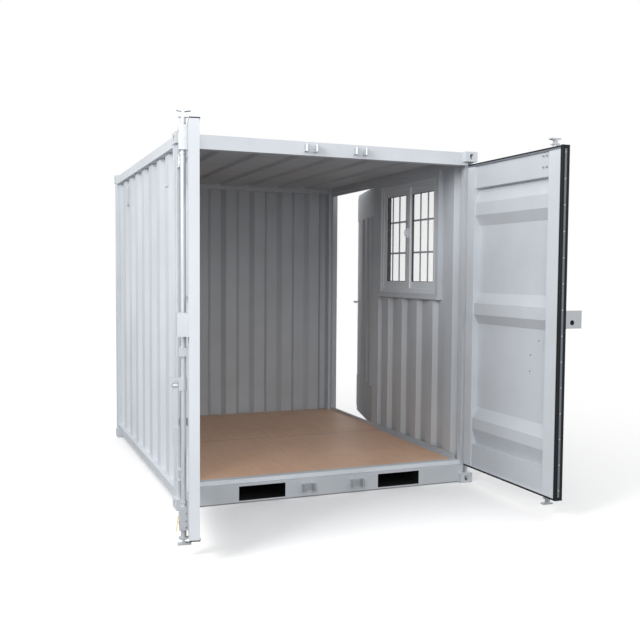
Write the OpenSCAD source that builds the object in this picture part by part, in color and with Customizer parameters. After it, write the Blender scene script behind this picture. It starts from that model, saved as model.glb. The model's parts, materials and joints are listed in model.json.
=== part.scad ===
// Small shipping container cabin: double cargo doors at the front end, a personnel door
// and a sliding window in the right side wall. X is right as seen from the cargo doors,
// Y runs from the cargo doors to the rear end, Z is up from the ground. Millimetres.

/* [Container] */
// Width over the corner castings
overall_w = 2060; // [1700:10:2500]
// Length over the corner castings
overall_l = 2520; // [2100:10:3200]
// Height over the corner castings
overall_h = 2260; // [1900:10:2800]

/* [Corner castings] */
// Width of a casting across the container
casting_w = 92; // [80:1:120]
// Length of a casting along the container
casting_l = 110; // [90:1:140]
// Height of a casting
casting_h = 66; // [55:1:90]
// Wall of a casting
casting_wall = 12; // [8:1:16]
// Length of the oval lifting hole
hole_l = 38; // [26:1:48]
// Width of the oval lifting hole
hole_w = 28; // [18:1:36]

/* [Frame] */
// Front frame behind the front of the castings
front_setback = 34; // [20:1:60]
// Rear frame ahead of the rear of the castings
rear_setback = 8; // [4:1:20]
// Side frame inside the sides of the castings
side_setback = 6; // [3:1:15]
// Width of a front post across the container
front_post_w = 52; // [40:1:70]
// Width of the post's front lip beside the door leaf
lip_w = 14; // [10:1:24]
// Outer side of the lip inside the side of the frame
lip_in = 10; // [6:1:16]
// Underside of the front and rear sills
sill_z = 6; // [4:1:30]
// Height of the sills
sill_h = 114; // [104:1:150]
// Thickness of the sills along the container
sill_t = 100; // [60:1:140]
// Height of the front and rear top beams
header_h = 85; // [70:1:120]
// Thickness of the front top beam
header_t = 60; // [40:1:100]
// Top of the beams below the top of the castings
header_drop = 3; // [2:1:20]
// Height of the side top rails
top_rail_h = 62; // [50:1:90]
// Width of the side top rails
top_rail_w = 70; // [60:1:90]
// Top of the side top rails below the top of the castings
top_rail_drop = 18; // [10:1:30]
// Height of the side bottom rails
bottom_rail_h = 101; // [80:1:104]
// Width of the side bottom rails' top flange
bottom_rail_w = 60; // [50:1:80]
// Thickness of the top flange
flange_t = 6; // [4:1:10]
// Web of the bottom rail inside the flange's outer edge
web_in = 40; // [20:1:44]

/* [Floor] */
// Thickness of the plywood
ply_t = 24; // [18:1:30]
// Clear width of a fork pocket
pocket_w = 306; // [250:1:360]
// Clear height of a fork pocket
pocket_h = 90; // [70:1:94]
// Distance from the centre line to the middle of a fork pocket
pocket_x = 478; // [420:1:560]
// Wall of a fork pocket
pocket_wall = 5; // [4:1:8]
// Width of a cross member
cross_w = 45; // [30:1:60]
// Number of cross members
cross_count = 6; // [4:1:8]
// Side of the angle along the floor's edge
floor_angle = 32; // [24:1:45]

/* [Walls] */
// Thickness of the wall sheet
sheet_t = 2; // [1.6:0.1:3]
// Outer flats of the side sheets inside the side of the frame
wall_in = 22; // [12:1:30]
// Depth of the side corrugation
side_corr = 28; // [20:1:40]
// Depth of the rear corrugation
rear_corr = 46; // [30:1:50]
// Spacing of the corrugations
corr_pitch = 278; // [220:1:320]
// Depth of the roof corrugation
roof_corr = 20; // [16:1:40]
// Width of the roof's upper flats, as a share of a wave
groove_w = 0.14; // [0.1:0.01:0.4]
// Width of the roof's slopes, as a share of a wave
groove_slope = 0.07; // [0.05:0.01:0.14]
// Width of a vent cover
vent_w = 90; // [60:1:120]
// Height of a vent cover
vent_h = 140; // [100:1:180]
// A vent cover proud of the wall
vent_proud = 5; // [3:1:6]

/* [Cargo doors] */
// Hinge pin inside the side of the castings
pin_in = 21.5; // [14:0.5:28]
// Hinge pin ahead of the front of the castings
pin_out = 4; // [0:0.5:12]
// Hinge pin to the door's outer face
pin_to_face = 12; // [10:0.5:16]
// Hinge pin to the door's hinge edge
pin_to_edge = 14; // [12:0.5:20]
// Thickness of a cargo door
leaf_t = 50; // [40:1:60]
// Gap between the two cargo doors
leaf_gap = 9; // [8:1:16]
// Gap above and below a cargo door
leaf_gap_z = 5; // [5:0.5:10]
// Width of the rubber seal
gasket_w = 6; // [4:0.5:10]
// Width of the hinge stile
hinge_stile = 83; // [60:1:110]
// Width of the free stile
free_stile = 126; // [90:1:150]
// Height of the top and bottom members
door_rail = 16; // [12:1:30]
// Thickness of the pressed door sheet
door_sheet = 2.5; // [2:0.5:4]
// Depth of the pressed ribs
rib_d = 36; // [20:1:42]
// Radius of a hinge pin
pin_r = 6; // [5:0.5:8]
// Radius of a hinge knuckle
knuckle_r = 11; // [9:0.5:13]
// Height of a hinge knuckle
knuckle_h = 46; // [30:1:70]
// Opening of the left cargo door
left_open = 100.4; // [0:0.1:170]
// Opening of the right cargo door
right_open = 90.5; // [0:0.1:170]

/* [Locking gear] */
// Distance from the centre line to a lock bar
bar_x = 170; // [140:1:260]
// Radius of a lock bar
bar_r = 14; // [11:0.5:17]
// Lock bar's middle ahead of the door's outer face
bar_off = 22; // [20:0.5:30]
// Running clearance of bars and pins
run_gap = 0.06; // [0.03:0.01:0.1]
// Height of the handle's pivot
handle_z = 872; // [700:1:1100]
// Length of a handle from its pivot
handle_l = 298; // [220:1:340]
// Width of a handle
handle_w = 24; // [18:1:28]
// Height of the middle of the lock plate
lock_z = 1178; // [1100:1:1300]
// Height of the lock plate
lock_h = 104; // [80:1:130]

/* [Side door] */
// Width of the side door leaf
sdoor_w = 935; // [700:5:1000]
// Thickness of the side door leaf
sdoor_t = 34; // [28:1:40]
// Gap around the side door leaf
sdoor_gap = 8; // [7:0.5:12]
// Overlap of the frame's stop behind the leaf
stop_lap = 20; // [14:1:30]
// Outer face of the side door and the window inside the side of the frame
panel_in = 10; // [4:1:16]
// Inner face of the side door's frame and the window inside the castings' side
trim_in = 66; // [58:1:80]
// Height of the step over the floor
step_h = 25; // [15:1:45]
// Radius of the side door's hinge pins
spin_r = 5; // [4:0.5:6]
// Opening of the side door
side_open = 15.2; // [0:0.1:90]
// Height of the lever above the floor
lever_z = 1026; // [900:1:1150]

/* [Window] */
// Width of the window's steel surround
win_w = 980; // [800:5:1000]
// Width of the post between the window and the side door
door_post_w = 85; // [60:1:110]
// Height of the bottom of the surround
win_z = 1247; // [1000:1:1400]
// Width of a member of the surround
surround_w = 38; // [30:1:50]
// Height of the surround's top member
head_h = 47; // [38:1:60]
// Width of a member of the window frame
wframe_w = 35; // [25:1:45]
// Width of a member of a sash
sash_w = 50; // [40:1:60]
// Thickness of the glass
glass_t = 5; // [4:1:8]

/* [Hidden] */
$fn = 32;

half_w = overall_w / 2;
half_l = overall_l / 2;
front_y = -half_l + front_setback;
rear_y = half_l - rear_setback;
side_x = half_w - side_setback;
wall_x = side_x - wall_in;
panel_x = side_x - panel_in;
post_in_x = half_w - casting_w;
front_in_x = side_x - front_post_w;
lip_out = side_x - lip_in;
lip_x = lip_out - lip_w;
post_l = casting_l;
rear_post_y = half_l - casting_l + 10;

// Levels
sill_top = sill_z + sill_h;
header_top = overall_h - header_drop;
header_z = header_top - header_h;
rail_top = overall_h - top_rail_drop;
rail_z = rail_top - top_rail_h;
floor_under = sill_top - 2;
floor_z = floor_under + ply_t;
brail_z = floor_under - bottom_rail_h;
pocket_z = sill_z + (sill_h - pocket_h) * 0.4;
floor_x = wall_x - side_corr - sheet_t - 2;

// Cargo door leaf, in its own frame: u from the hinge pin, t inwards, closed
pin_x = half_w - pin_in;
pin_y = -half_l - pin_out;
face_t = pin_to_face;
back_t = face_t + leaf_t;
behind_y = pin_y + back_t + 6;
leaf_end = pin_x - leaf_gap / 2;
leaf_z0 = sill_top + 2 * leaf_gap_z;
leaf_z1 = header_z - leaf_gap_z;
leaf_h = leaf_z1 - leaf_z0;
bar_u = pin_x - bar_x;
bar_t = face_t - bar_off;
hinge_zs = [leaf_z0 + 92, (leaf_z0 + leaf_z1) / 2, leaf_z1 - 80];

// Cams beyond the ends of the leaf: a short jaw, a neck and a long jaw
jaw_near = 28;
jaw_far = 60;
jaw_short = 24;
jaw_reach = min(38, front_y - 6 - (pin_y + bar_t));
jaw_back = 31;
jaw_end = 7;
jaw_root = 16;
jaw_neck = 7;
jaw_w = 30;

// Keepers on the front beams
keeper_gap = jaw_w + 20;
keeper_lug = 18;
keeper_h = 46;
keeper_out = 46;

// Hub and handle
hub_h = 64;
hub_half = 14;
hub_out = 68;
slot_out = 58;
slot_in = 24;
hub_top = 9;
hub_up = 6;
arm_half = 9;
grip_half = 13;
grip_l = 90;

// Bearing blocks, lock box and lock plate
block_half = 24;
block_cover = 8;
end_block_h = 120;
mid_block_h = 44;
mid_block_z = lock_z - 138;
box_out = 57;
box_wall = 6;
plate_t = 8;
plate_out = 112;
padlock_r = 15;

// Side door, in its own frame: s from the hinge pin along the wall, o outwards, closed
sdoor_x1 = panel_x;
sdoor_x0 = panel_x - sdoor_t;
sdoor_far = rear_post_y - sdoor_gap - 2;
sdoor_near = sdoor_far - sdoor_w;
sdoor_z0 = floor_under + sdoor_gap;
sdoor_z1 = rail_z - sdoor_gap;
spin_x = panel_x + 10;
spin_y = sdoor_near - 4;
rebate_y = sdoor_near - sdoor_gap + 1;
trim_x = half_w - trim_in;
stop_x = sdoor_x0 - 6;
clear_y0 = sdoor_near + stop_lap;
clear_y1 = sdoor_far - stop_lap;
clear_z0 = floor_z + step_h;
clear_z1 = sdoor_z1 - stop_lap;
hinge_s = [sdoor_z0 + 180, sdoor_z1 - 180];
side_knuckle_r = spin_r + 4;
side_knuckle_h = 50;
side_blade_l = 110;
spindle_y = sdoor_far - 62;
spindle_z = floor_z + lever_z;
spindle_out = 42;
lever_l = 118;
lever_half = 9;
lever_t = 12;

// Window
win_y1 = rebate_y - door_post_w;
least_sheet = 60;
win_y0 = max(win_y1 - win_w, -half_l + post_l + least_sheet);
win_top = rail_z;
wf_y0 = win_y0 + surround_w;
wf_y1 = win_y1 - surround_w;
wf_z0 = win_z + surround_w + 4;
wf_z1 = win_top - head_h;
sash_y0 = wf_y0 + wframe_w;
sash_y1 = wf_y1 - wframe_w;
sash_z0 = wf_z0 + wframe_w;
sash_z1 = wf_z1 - wframe_w;
sash_len = (sash_y1 - sash_y0 + sash_w) / 2;
wf_x0 = trim_x + 8;
sash_t = 16;
in_sash_x = wf_x0 + 4;
out_sash_x = in_sash_x + sash_t + 2;

// A steel plate from one corner to the other
module slab(lo, hi) {
    translate(lo) cube([hi[0] - lo[0], hi[1] - lo[1], hi[2] - lo[2]]);
}

// Both sides of the container
module both_sides() {
    children();
    mirror([1, 0, 0]) children();
}

// Outline of a corrugated sheet of a length, starting and ending on an outer flat.
// Each wave is an outer flat, a slope in, an inner flat and a slope out. The flat and the
// slope are shares of a wave.
function wave_points(length, pitch, depth, flat, slope) =
    let (n = max(1, round(length / pitch)), p = length / n, a = flat / 2,
        turns = [a, a + slope, 1 - a - slope, 1 - a])
    [for (i = [0 : n - 1], k = [0 : 3]) [p * (i + turns[k]), [0, 1, 1, 0][k] * depth]];

module wave_sheet(length, pitch, depth, thick, height, flat = 0.36, slope = 0.14) {
    points = wave_points(length, pitch, depth, flat, slope);
    path = concat([[0, 0]], points, [[length, 0]]);
    last = len(path) - 1;
    back = [for (i = [last : -1 : 0]) [path[i][0], path[i][1] + thick]];
    linear_extrude(height = height) polygon(concat(path, back));
}

// An oval hole, long along X, through a thickness along Z
module oval(length, width, depth) {
    for (s = [-1, 1]) {
        translate([s * (length - width) / 2, 0, 0]) cylinder(r = width / 2, h = depth);
    }
    translate([-(length - width) / 2, -width / 2, 0]) cube([length - width, width, depth]);
}

// A casting at the front left bottom corner, with its outer corner at the origin
module casting() {
    inner = [casting_w - 2 * casting_wall, casting_l - 2 * casting_wall,
        casting_h - 2 * casting_wall];
    difference() {
        cube([casting_w, casting_l, casting_h]);
        translate([casting_wall, casting_wall, casting_wall]) cube(inner);
        translate([casting_w / 2, casting_wall + 1, casting_h / 2]) rotate([90, 90, 0])
            oval(hole_l, hole_w, casting_wall + 2);
        translate([-1, casting_l / 2, casting_h / 2]) rotate([0, 90, 0])
            oval(hole_l, hole_w, casting_wall + 2);
        translate([casting_w / 2, casting_l / 2, -1]) rotate([0, 0, 90])
            oval(hole_l + 14, hole_w + 4, casting_wall + 2);
    }
}

module four_castings() {
    both_sides() {
        translate([-half_w, -half_l, 0]) casting();
        translate([-half_w, half_l, 0]) mirror([0, 1, 0]) casting();
    }
}

module bottom_corner_castings() {
    color("lightslategray") four_castings();
}

module top_corner_castings() {
    color("lightslategray") translate([0, 0, overall_h]) mirror([0, 0, 1]) four_castings();
}

// The room that the castings take, which rails and roof leave free
module casting_rooms() {
    both_sides() for (y = [-half_l, half_l - casting_l], z = [0, overall_h - casting_h]) {
        translate([-half_w, y, z]) cube([casting_w, casting_l, casting_h]);
    }
}

// A front post is a lip beside the door leaf and a box behind it; a rear post is a box
module corner_posts() {
    post_z = overall_h - 2 * casting_h;
    color("lightgray") both_sides() {
        translate([0, 0, casting_h]) linear_extrude(height = post_z) polygon([
            [-lip_out, front_y], [-lip_x, front_y], [-lip_x, behind_y],
            [-front_in_x, behind_y], [-front_in_x, -half_l + post_l],
            [-side_x, -half_l + post_l], [-side_x, behind_y], [-lip_out, behind_y]]);
        slab([-side_x, rear_post_y, casting_h], [-post_in_x, rear_y, overall_h - casting_h]);
    }
}

module pocket_cuts(y0, y1) {
    both_sides() slab([pocket_x - pocket_w / 2, y0, pocket_z],
        [pocket_x + pocket_w / 2, y1, pocket_z + pocket_h]);
}

module front_sill() {
    color("lightgray") difference() {
        slab([-front_in_x, front_y, sill_z], [front_in_x, front_y + sill_t, sill_top - 3]);
        pocket_cuts(front_y - 1, front_y + sill_t + 1);
        casting_rooms();
    }
}

// The plate over the sill, flat under the doors and rising to the floor behind them
module threshold_plate() {
    back_y = front_y + sill_t;
    color("gainsboro") translate([-front_in_x, 0, 0]) rotate([90, 0, 90])
        linear_extrude(height = 2 * front_in_x) polygon([
            [front_y, sill_top - 3], [front_y, sill_top],
            [behind_y, sill_top], [behind_y + 16, floor_z], [back_y, floor_z], [back_y, sill_top - 3]]);
}

module front_header() {
    color("lightgray") difference() {
        slab([-front_in_x, front_y, header_z], [front_in_x, front_y + header_t, header_top]);
        casting_rooms();
    }
}

module rear_sill() {
    color("lightgray") difference() {
        slab([-post_in_x, rear_y - sill_t, sill_z], [post_in_x, rear_y, floor_under]);
        pocket_cuts(rear_y - sill_t - 1, rear_y + 1);
    }
}

module rear_header() {
    color("lightgray")
        slab([-post_in_x, rear_y - header_t, rail_z], [post_in_x, rear_y, rail_top]);
}

// The top rail is a box; the bottom rail is a web under a flange that stands out to the posts
module side_rails() {
    y0 = -half_l + post_l;
    y1 = rear_post_y;
    web_x = side_x - web_in;
    in_x = side_x - bottom_rail_w;
    color("lightgray") difference() {
        both_sides() {
            slab([-side_x, y0, rail_z], [-side_x + top_rail_w, y1, rail_top]);
            slab([-web_x, y0, brail_z], [-in_x, y1, floor_under]);
            slab([-side_x, y0, floor_under - flange_t], [-in_x, y1, floor_under]);
        }
        casting_rooms();
        slab([-front_in_x, y0 - 1, 0], [front_in_x, front_y + sill_t, floor_z]);
    }
}

module fork_pockets() {
    y0 = front_y + sill_t;
    y1 = rear_y - sill_t;
    w = pocket_wall;
    color("dimgray") difference() {
        both_sides() slab([pocket_x - pocket_w / 2 - w, y0, pocket_z - w],
            [pocket_x + pocket_w / 2 + w, y1, pocket_z + pocket_h + w]);
        pocket_cuts(y0 - 1, y1 + 1);
    }
}

// Floor bearers, cut where the fork pockets pass through
module cross_members() {
    y0 = front_y + sill_t;
    y1 = rear_y - sill_t;
    x_out = side_x - bottom_rail_w;
    x_mid = pocket_x - pocket_w / 2 - pocket_wall;
    x_far = pocket_x + pocket_w / 2 + pocket_wall;
    z0 = pocket_z;
    color("darkgray") for (i = [1 : cross_count]) {
        y = y0 + (y1 - y0) * i / (cross_count + 1) - cross_w / 2;
        slab([-x_mid, y, z0], [x_mid, y + cross_w, floor_under]);
        both_sides() slab([x_far, y, z0], [x_out, y + cross_w, floor_under]);
    }
}

// The floor sheet, running on between the rear posts
module plywood_floor() {
    y0 = front_y + sill_t;
    y1 = rear_y - rear_corr - sheet_t - 2;
    color("tan") {
        slab([-floor_x, y0, floor_under], [floor_x, rear_post_y, floor_z]);
        slab([-post_in_x, y0, floor_under], [post_in_x, y1, floor_z]);
    }
}

// Angles that close the joint between the floor and the side walls
module floor_edge_angles() {
    x = floor_x;
    t = 3;
    y0 = front_y + sill_t;
    ys = [rear_post_y, win_y1];
    color("gainsboro") for (k = [0, 1]) mirror([1 - k, 0, 0]) {
        slab([x - floor_angle, y0, floor_z], [x, ys[k], floor_z + t]);
        slab([x - t, y0, floor_z], [x, ys[k], floor_z + floor_angle]);
    }
}

// A side panel standing on the left bottom rail between two places along the container
module side_panel(y0, y1, z0, z1) {
    translate([-wall_x, y0, z0]) mirror([0, 1, 0]) rotate([0, 0, -90])
        wave_sheet(y1 - y0, corr_pitch, side_corr, sheet_t, z1 - z0);
}

module left_wall() {
    color("gainsboro") side_panel(-half_l + post_l, rear_post_y, floor_under, rail_z);
}

module rear_wall() {
    color("gainsboro") translate([-post_in_x, rear_y, floor_under]) mirror([0, 1, 0])
        wave_sheet(2 * post_in_x, corr_pitch, rear_corr, sheet_t, rail_z - floor_under);
}

module right_wall_front() {
    color("gainsboro") mirror([1, 0, 0])
        side_panel(-half_l + post_l, win_y0, floor_under, rail_z);
}

module right_wall_under_window() {
    color("gainsboro") mirror([1, 0, 0]) side_panel(win_y0, win_y1, floor_under, win_z);
}

// The post between the window and the doorway
module door_side_post() {
    color("lightgray") {
        slab([trim_x, win_y1, floor_z], [panel_x, rebate_y, rail_z]);
        slab([floor_x, win_y1, floor_under], [panel_x, rebate_y, floor_z]);
    }
}

// Stop strips behind the leaf, with the step below and the head above
module side_door_frame() {
    color("gainsboro") difference() {
        slab([trim_x, rebate_y, floor_z], [stop_x, rear_post_y, rail_z]);
        slab([trim_x - 1, clear_y0, clear_z0], [stop_x + 1, clear_y1, clear_z1]);
    }
}

// A rectangular ring standing across X
module ring(x0, x1, lo, hi, member) {
    difference() {
        slab([x0, lo[0], lo[1]], [x1, hi[0], hi[1]]);
        slab([x0 - 1, lo[0] + member, lo[1] + member], [x1 + 1, hi[0] - member, hi[1] - member]);
    }
}

module window_surround() {
    color("silver") difference() {
        slab([trim_x, win_y0, win_z], [panel_x, win_y1, win_top]);
        slab([trim_x - 1, wf_y0, wf_z0], [panel_x + 1, wf_y1, wf_z1]);
    }
}

// The fixed frame with its two sliding sashes in two tracks
module window_frame() {
    color("whitesmoke") {
        ring(wf_x0, panel_x - 2, [wf_y0, wf_z0], [wf_y1, wf_z1], wframe_w);
        ring(in_sash_x, in_sash_x + sash_t, [sash_y1 - sash_len, sash_z0],
            [sash_y1, sash_z1], sash_w);
        ring(out_sash_x, out_sash_x + sash_t, [sash_y0, sash_z0],
            [sash_y0 + sash_len, sash_z1], sash_w);
    }
}

module window_glass() {
    g0 = (sash_t - glass_t) / 2;
    w = sash_w;
    color("lightblue", 0.4) {
        slab([in_sash_x + g0, sash_y1 - sash_len + w, sash_z0 + w],
            [in_sash_x + g0 + glass_t, sash_y1 - w, sash_z1 - w]);
        slab([out_sash_x + g0, sash_y0 + w, sash_z0 + w],
            [out_sash_x + g0 + glass_t, sash_y0 + sash_len - w, sash_z1 - w]);
    }
}

// The roof sheet, with its waves along the container
module roof_panel() {
    x = side_x - top_rail_w;
    y0 = front_y + header_t;
    y1 = rear_y - header_t;
    color("gainsboro") difference() {
        translate([-x, y0, rail_top - 2]) rotate([-90, 0, 0])
            wave_sheet(2 * x, corr_pitch, roof_corr, sheet_t, y1 - y0, groove_w, groove_slope);
        casting_rooms();
    }
}

// Vent covers high on the left wall, one on an outer flat and one standing in an inner flat
module wall_vents() {
    waves = max(1, round((rear_post_y + half_l - post_l) / corr_pitch));
    pitch = (rear_post_y + half_l - post_l) / waves;
    z = rail_z - 66 - vent_h;
    x = -wall_x - vent_proud;
    depths = [vent_proud, vent_proud + side_corr];
    steps = [1, waves - 1.5];
    color("gainsboro") for (k = [0, 1]) {
        y = -half_l + post_l + pitch * steps[k];
        slab([x, y - vent_w / 2, z], [x + depths[k], y + vent_w / 2, z + vent_h]);
    }
}

// A keeper is a plate with a lug on each side of the cam
module keeper(z) {
    w = keeper_gap + 2 * keeper_lug;
    translate([0, front_y, z - keeper_h / 2]) {
        translate([-w / 2, -3, 0]) cube([w, 3, keeper_h]);
        for (s = [-1, 1]) translate([s * (keeper_gap + keeper_lug) / 2, 0, 0]) {
            nose = keeper_lug / 2;
            translate([-nose, nose - keeper_out, 0])
                cube([keeper_lug, keeper_out - nose, keeper_h]);
            translate([0, nose - keeper_out, 0]) cylinder(r = nose, h = keeper_h);
        }
    }
}

module cam_keepers() {
    color("silver") both_sides() translate([bar_x, 0, 0]) {
        keeper(leaf_z1 + 50);
        keeper(leaf_z0 - 64);
    }
}

// A lug on the post, round at the pin
module post_lug(z, thick) {
    translate([0, 0, z]) {
        cylinder(r = knuckle_r, h = thick);
        translate([lip_x - pin_x, 0, 0]) cube([lip_w, front_y - pin_y, thick]);
    }
}

// A lug on the side door's frame, round at the pin
module side_lug(z, thick) {
    translate([0, 0, z]) {
        cylinder(r = side_knuckle_r, h = thick);
        translate([panel_x - spin_x, -14, 0]) cube([spin_x - panel_x, 14, thick]);
    }
}

// Lugs with their pins for the three hinges of each cargo door and two of the side door
module hinge_lugs() {
    lug = 12;
    gap = 1.5;
    reach = knuckle_h / 2 + gap;
    side_reach = side_knuckle_h / 2 + gap;
    color("silver") {
        both_sides() translate([pin_x, pin_y, 0]) for (z = hinge_zs) {
            post_lug(z - reach - lug, lug);
            post_lug(z + reach, lug);
            translate([0, 0, z - reach - lug]) cylinder(r = pin_r, h = 2 * (reach + lug));
        }
        translate([spin_x, spin_y, 0]) for (z = hinge_s) {
            side_lug(z - side_reach - lug, lug);
            side_lug(z + side_reach, lug);
            translate([0, 0, z - side_reach - lug])
                cylinder(r = spin_r, h = 2 * (side_reach + lug));
        }
    }
}

// Place a closed leaf's parts at the left or the right hinge, opened to its rest angle
module at_left() {
    translate([-pin_x, pin_y, 0]) rotate([0, 0, -left_open]) children();
}

module at_right() {
    translate([pin_x, pin_y, 0]) rotate([0, 0, right_open]) mirror([1, 0, 0]) children();
}

// The welded frame of a cargo door; the seal takes its width off the edges it is on
module leaf_frame(end_gasket) {
    g = gasket_w;
    difference() {
        slab([pin_to_edge, face_t, leaf_z0 + g], [leaf_end - end_gasket, back_t, leaf_z1 - g]);
        slab([pin_to_edge + hinge_stile, face_t - 1, leaf_z0 + door_rail],
            [leaf_end - free_stile, back_t + 1, leaf_z1 - door_rail]);
    }
}

// Section of the pressed door sheet from bottom to top, as heights and levels.
// The ribs are pressed inwards; heights run from the leaf's middle or its ends.
function rib_path() =
    let (a = leaf_z0, b = leaf_z0 + leaf_h * 0.529, c = leaf_z1)
    [[a + door_rail, 1], [a + 162, 1], [a + 166, 0], [a + 270, 1], [a + 340, 1], [a + 412, 0],
     [b - 102, 0], [b - 40, 1], [b + 34, 1], [b + 104, 0],
     [c - 411, 0], [c - 342, 1], [c - 261, 1], [c - 167, 0], [c - 163, 1], [c - door_rail, 1]];

module leaf_panel() {
    t0 = face_t + 3;
    path = [for (p = rib_path()) [t0 + p[1] * rib_d, p[0]]];
    last = len(path) - 1;
    back = [for (i = [last : -1 : 0]) [path[i][0] + door_sheet, path[i][1]]];
    u0 = pin_to_edge + hinge_stile;
    translate([u0, 0, 0]) rotate([90, 0, 90])
        linear_extrude(height = leaf_end - free_stile - u0) polygon(concat(path, back));
}

// The rubber seal along the top and bottom edges, and along the free edge of one door
module leaf_gasket(end_gasket) {
    g = gasket_w;
    difference() {
        slab([pin_to_edge, face_t, leaf_z0], [leaf_end, back_t, leaf_z1]);
        slab([pin_to_edge - 1, face_t - 1, leaf_z0 + g],
            [end_gasket > 0 ? leaf_end - g : leaf_end + 1, back_t + 1, leaf_z1 - g]);
    }
}

// Hinge blades welded on the outer face, each with a bored knuckle
module leaf_hinges() {
    blade_l = 150;
    for (z = hinge_zs) translate([0, 0, z - knuckle_h / 2]) difference() {
        union() {
            cylinder(r = knuckle_r, h = knuckle_h);
            translate([0, face_t - 8, 0]) cube([blade_l, 8, knuckle_h]);
        }
        translate([0, 0, -1]) cylinder(r = pin_r + run_gap, h = knuckle_h + 2);
    }
}

// A bearing block on the door's outer face, bored for the lock bar
module bar_block(z0, z1) {
    difference() {
        slab([bar_u - block_half, bar_t - bar_r - block_cover, z0],
            [bar_u + block_half, face_t, z1]);
        translate([bar_u, bar_t, z0 - 1]) cylinder(r = bar_r + run_gap, h = z1 - z0 + 2);
    }
}

module bar_blocks() {
    bar_block(leaf_z0 + 14, leaf_z0 + 14 + end_block_h);
    bar_block(mid_block_z - mid_block_h / 2, mid_block_z + mid_block_h / 2);
    bar_block(leaf_z1 - 14 - end_block_h, leaf_z1 - 14);
}

// A cam has two level jaws about the bar's axis, each thinner towards its ends
module cam() {
    e = jaw_end / 2;
    r = jaw_root / 2;
    near = jaw_near;
    far = jaw_far;
    translate([jaw_w / 2, 0, 0]) rotate([0, -90, 0]) linear_extrude(height = jaw_w)
        polygon([[near - e, -jaw_short], [near - e, jaw_short], [near + e, jaw_short],
            [near + r, jaw_neck], [far - r, jaw_neck], [far - e, jaw_reach],
            [far + e, jaw_reach], [far + e, -jaw_back], [far - e, -jaw_back],
            [far - r, -jaw_neck], [near + r, -jaw_neck], [near + e, -jaw_short]]);
}

// The lock bar with a cam at each end and the handle's hub with its pivot pin
module lock_bar() {
    translate([bar_u, bar_t, 0]) {
        translate([0, 0, leaf_z0 - jaw_near]) cylinder(r = bar_r, h = leaf_h + 2 * jaw_near);
        translate([0, 0, leaf_z1]) cam();
        translate([0, 0, leaf_z0]) mirror([0, 0, 1]) cam();
        translate([0, 0, handle_z - hub_h / 2 + hub_up]) difference() {
            union() {
                cylinder(r = bar_off - 5, h = hub_h);
                translate([-hub_half, -hub_out, 0]) cube([2 * hub_half, hub_out, hub_h]);
            }
            translate([-hub_half - 1, -slot_out, -1])
                cube([2 * hub_half + 2, slot_out - slot_in, hub_h - hub_top]);
        }
        translate([0, -slot_in + 1, handle_z]) rotate([90, 0, 0])
            cylinder(r = pin_r, h = hub_out - slot_in);
    }
}

// The handle hangs from the hub's pin, with a wider grip at its end
module bar_handle() {
    t1 = bar_t - (slot_in + slot_out) / 2 + handle_w / 2;
    end_z = handle_z - handle_l;
    difference() {
        union() {
            translate([bar_u, t1, handle_z]) rotate([90, 0, 0])
                cylinder(r = hub_half, h = handle_w);
            slab([bar_u - arm_half, t1 - handle_w, end_z + grip_l],
                [bar_u + arm_half, t1, handle_z]);
            slab([bar_u - grip_half, t1 - handle_w, end_z],
                [bar_u + grip_half, t1, end_z + grip_l]);
        }
        translate([bar_u, t1 + 1, handle_z]) rotate([90, 0, 0])
            cylinder(r = pin_r + run_gap, h = handle_w + 2);
    }
}

// The left door's lock box, between the bar and the free edge
module lock_box() {
    lo = [bar_u + 40, face_t - box_out, lock_z - lock_h / 2];
    hi = [leaf_end - 10, face_t, lock_z + lock_h / 2 + 8];
    w = box_wall;
    difference() {
        slab(lo, hi);
        slab([lo[0] + w, lo[1] + w, lo[2] - 1], [hi[0] - w, hi[1] - w, hi[2] - 20]);
    }
}

// The right door's lock plate, standing across the door at its free edge
module lock_plate() {
    u1 = leaf_end - gasket_w - 1;
    difference() {
        slab([u1 - plate_t, face_t - plate_out, lock_z - lock_h / 2],
            [u1, face_t, lock_z + lock_h / 2]);
        translate([u1 + 1, face_t - 46, lock_z - 18]) rotate([0, -90, 0])
            cylinder(r = padlock_r, h = plate_t + 2);
    }
}

module left_door_frame() { color("gainsboro") at_left() leaf_frame(0); }
module left_door_panel() { color("lightgray") at_left() leaf_panel(); }
module left_door_gasket() { color("black") at_left() leaf_gasket(0); }
module left_door_hinges() { color("silver") at_left() leaf_hinges(); }
module left_lock_bar() { color("silver") at_left() lock_bar(); }
module left_handle() { color("silver") at_left() bar_handle(); }
module right_door_frame() { color("gainsboro") at_right() leaf_frame(gasket_w); }
module right_door_panel() { color("lightgray") at_right() leaf_panel(); }
module right_door_gasket() { color("black") at_right() leaf_gasket(gasket_w); }
module right_door_hinges() { color("silver") at_right() leaf_hinges(); }
module right_lock_bar() { color("silver") at_right() lock_bar(); }
module right_handle() { color("silver") at_right() bar_handle(); }

module left_lock_fittings() {
    color("silver") at_left() {
        bar_blocks();
        lock_box();
    }
}

module right_lock_fittings() {
    color("silver") at_right() {
        bar_blocks();
        lock_plate();
    }
}

// Place the closed side door's parts at its hinge, opened to its rest angle
module at_side() {
    translate([spin_x, spin_y, 0]) rotate([0, 0, -side_open])
        translate([-spin_x, -spin_y, 0]) children();
}

// The side door is a plain box leaf, bored for the lever's spindle
module side_door_leaf() {
    color("gainsboro") at_side() difference() {
        slab([sdoor_x0, sdoor_near, sdoor_z0], [sdoor_x1, sdoor_far, sdoor_z1]);
        translate([sdoor_x0 - 1, spindle_y, spindle_z]) rotate([0, 90, 0])
            cylinder(r = 8, h = sdoor_t + 2);
    }
}

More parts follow.
